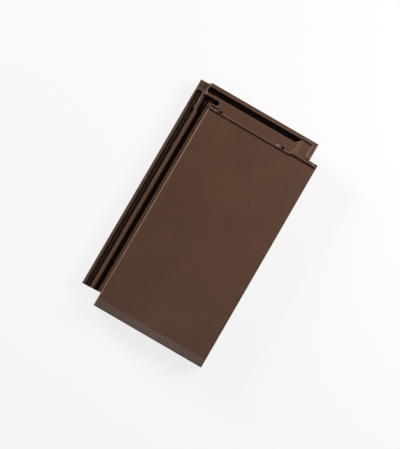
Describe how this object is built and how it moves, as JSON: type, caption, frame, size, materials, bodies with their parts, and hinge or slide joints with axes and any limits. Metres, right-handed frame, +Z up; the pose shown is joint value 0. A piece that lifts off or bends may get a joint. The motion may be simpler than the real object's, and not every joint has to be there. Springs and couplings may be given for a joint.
{
  "type": "roof tile",
  "caption": "Flat interlocking clay roof tile with a grooved side lock, a raised head lock, nail holes and hanging nibs, in brown engobe.",
  "frame": {"origin": "middle of the tile's outline, on the ground that its nibs and foot lip lie on", "axes": "+X across the tile from the side lock to the cover flange, +Y from the foot to the head, +Z up through the panel's face"},
  "size_m": [0.25, 0.434, 0.0375],
  "materials": {
    "engobed_clay": "satin brown engobe on fired clay"
  },
  "bodies": {
    "root": {"roof_tile": "engobed_clay"}
  },
  "joints": []
}
